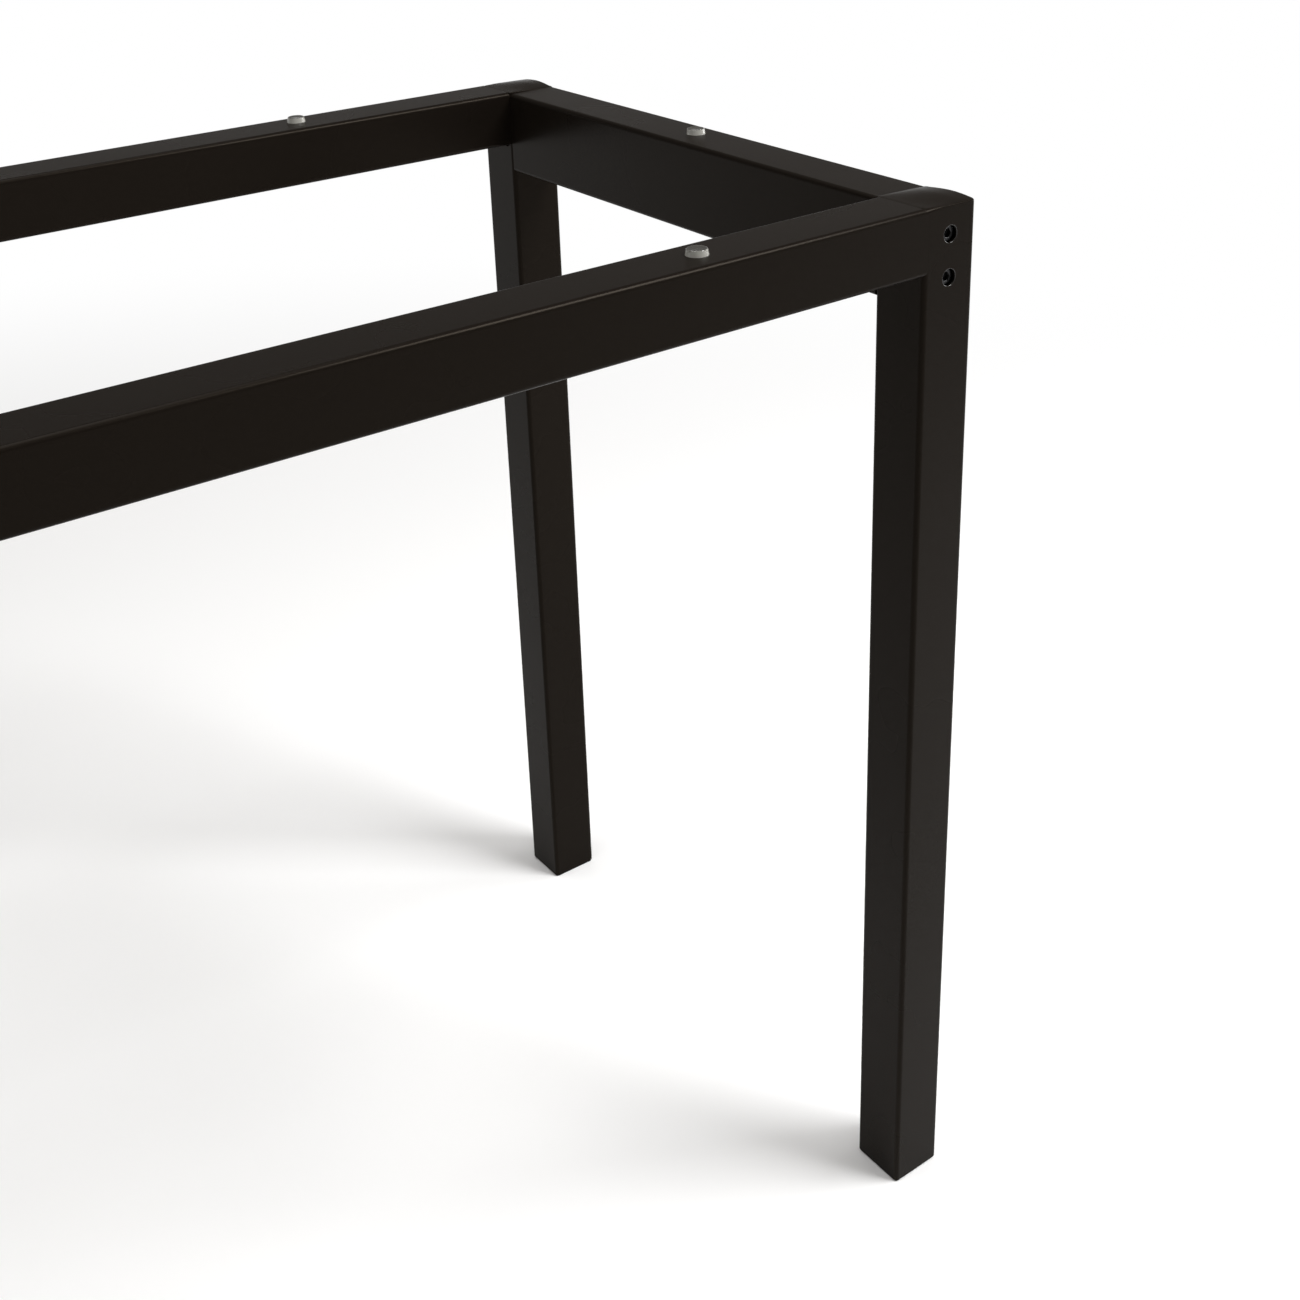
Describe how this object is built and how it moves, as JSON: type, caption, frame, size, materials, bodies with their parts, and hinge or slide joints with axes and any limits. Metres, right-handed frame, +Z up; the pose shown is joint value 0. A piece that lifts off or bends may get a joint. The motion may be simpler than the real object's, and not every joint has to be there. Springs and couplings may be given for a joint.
{
  "type": "sideboard base",
  "caption": "Matt black steel tube base for a sideboard, with square legs welded to long rails, bolted end rails, plastic feet and clear bumpers on top.",
  "frame": {"origin": "on the floor, under the middle of the base", "axes": "+X along the length towards the right end, +Y from front to back, +Z up"},
  "size_m": [1.6, 0.48, 0.7236],
  "materials": {
    "frame_coat": "fine matt powder coat",
    "inner_steel": "plain mild steel",
    "black_bolt": "blackened steel",
    "foot_plastic": "moulded",
    "clear_bumper": "clear soft plastic"
  },
  "bodies": {
    "root": {"front_right_leg": "frame_coat", "front_right_cap": "frame_coat", "front_right_welds": "frame_coat", "front_right_end_plate": "inner_steel", "front_right_sleeves": "inner_steel", "front_right_bolts": "black_bolt", "front_right_foot": "foot_plastic", "front_left_leg": "frame_coat", "front_left_cap": "frame_coat", "front_left_welds": "frame_coat", "front_left_end_plate": "inner_steel", "front_left_sleeves": "inner_steel", "front_left_bolts": "black_bolt", "front_left_foot": "foot_plastic", "rear_right_leg": "frame_coat", "rear_right_cap": "frame_coat", "rear_right_welds": "frame_coat", "rear_right_end_plate": "inner_steel", "rear_right_sleeves": "inner_steel", "rear_right_bolts": "black_bolt", "rear_right_foot": "foot_plastic", "rear_left_leg": "frame_coat", "rear_left_cap": "frame_coat", "rear_left_welds": "frame_coat", "rear_left_end_plate": "inner_steel", "rear_left_sleeves": "inner_steel", "rear_left_bolts": "black_bolt", "rear_left_foot": "foot_plastic", "front_rail": "frame_coat", "rear_rail": "frame_coat", "right_end_rail": "frame_coat", "left_end_rail": "frame_coat", "front_right_bumper": "clear_bumper", "front_left_bumper": "clear_bumper", "rear_right_bumper": "clear_bumper", "rear_left_bumper": "clear_bumper", "right_end_bumper": "clear_bumper", "left_end_bumper": "clear_bumper"}
  },
  "joints": []
}
